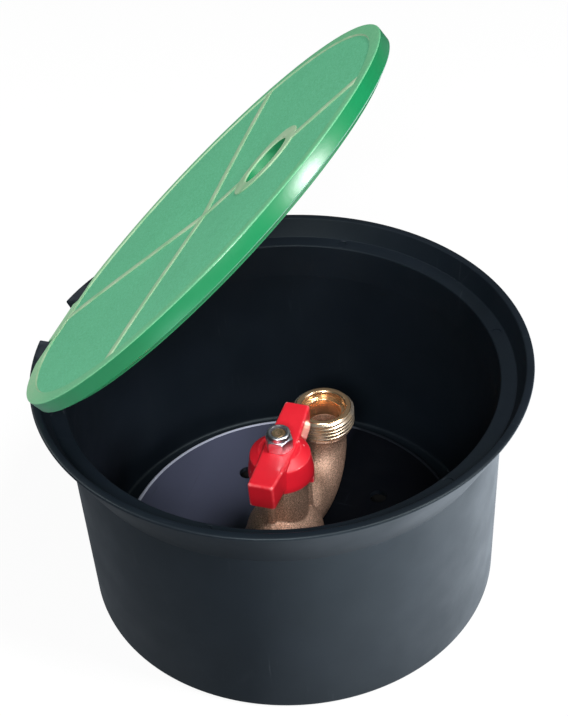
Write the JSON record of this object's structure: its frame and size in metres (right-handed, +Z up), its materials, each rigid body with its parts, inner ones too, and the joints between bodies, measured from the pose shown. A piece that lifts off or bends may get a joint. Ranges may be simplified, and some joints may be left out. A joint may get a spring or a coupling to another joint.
{
  "type": "garden hydrant",
  "caption": "Round in-ground valve box with a hinged green lid, and inside it a brass ball valve with a red T handle and an upright threaded hose outlet.",
  "frame": {"origin": "on the box's axis at the level of its foot, which is the ground it stands on", "axes": "+Z up, -X towards the lid's hinge, +Y the way the water flows from the inlet to the hose outlet"},
  "size_m": [0.1981, 0.199, 0.2414],
  "materials": {
    "box_plastic": "moulded black plastic with a slight blue cast, satin",
    "lid_plastic": "moulded green plastic, grained top and smoother sides",
    "pin_steel": "drawn steel pin",
    "body_brass": "cast brass with a fine grain, machined at the outlet",
    "turned_brass": "turned brass, bright",
    "ball_chrome": "polished plating",
    "seat_plastic": "white low-friction plastic",
    "seal_rubber": "black rubber",
    "handle_paint": "glossy red coating on die-cast metal",
    "zinc_steel": "bright zinc plating",
    "insert_plastic": "dark plastic locking ring"
  },
  "bodies": {
    "box_body": {"box": "box_plastic", "hinge_pin": "pin_steel", "valve_body": "body_brass", "inlet_elbow": "turned_brass", "body_seal": "seal_rubber", "inlet_seat": "seat_plastic", "outlet_seat": "seat_plastic", "thrust_washer": "seat_plastic", "packing_ring": "seat_plastic", "gland_nut": "turned_brass", "floor_gasket": "seal_rubber", "floor_washer": "zinc_steel", "backnut": "turned_brass"},
    "lid": {"lid": "lid_plastic"},
    "handle_set": {"handle": "handle_paint", "handle_nut": "zinc_steel", "nut_insert": "insert_plastic", "stem": "turned_brass", "ball": "ball_chrome", "stem_o_ring": "seal_rubber"}
  },
  "joints": [
    {"name": "lid_hinge", "type": "hinge", "parent": "box_body", "child": "lid", "pos_m": [-0.0932, 0, 0.1072], "axis": [0, -1, 0], "range_deg": [-45, 55]},
    {"name": "handle_turn", "type": "hinge", "parent": "box_body", "child": "handle_set", "pos_m": [0.0025, -0.0155, 0.07], "axis": [0, 0, 1], "range_deg": [-90, 0]}
  ]
}
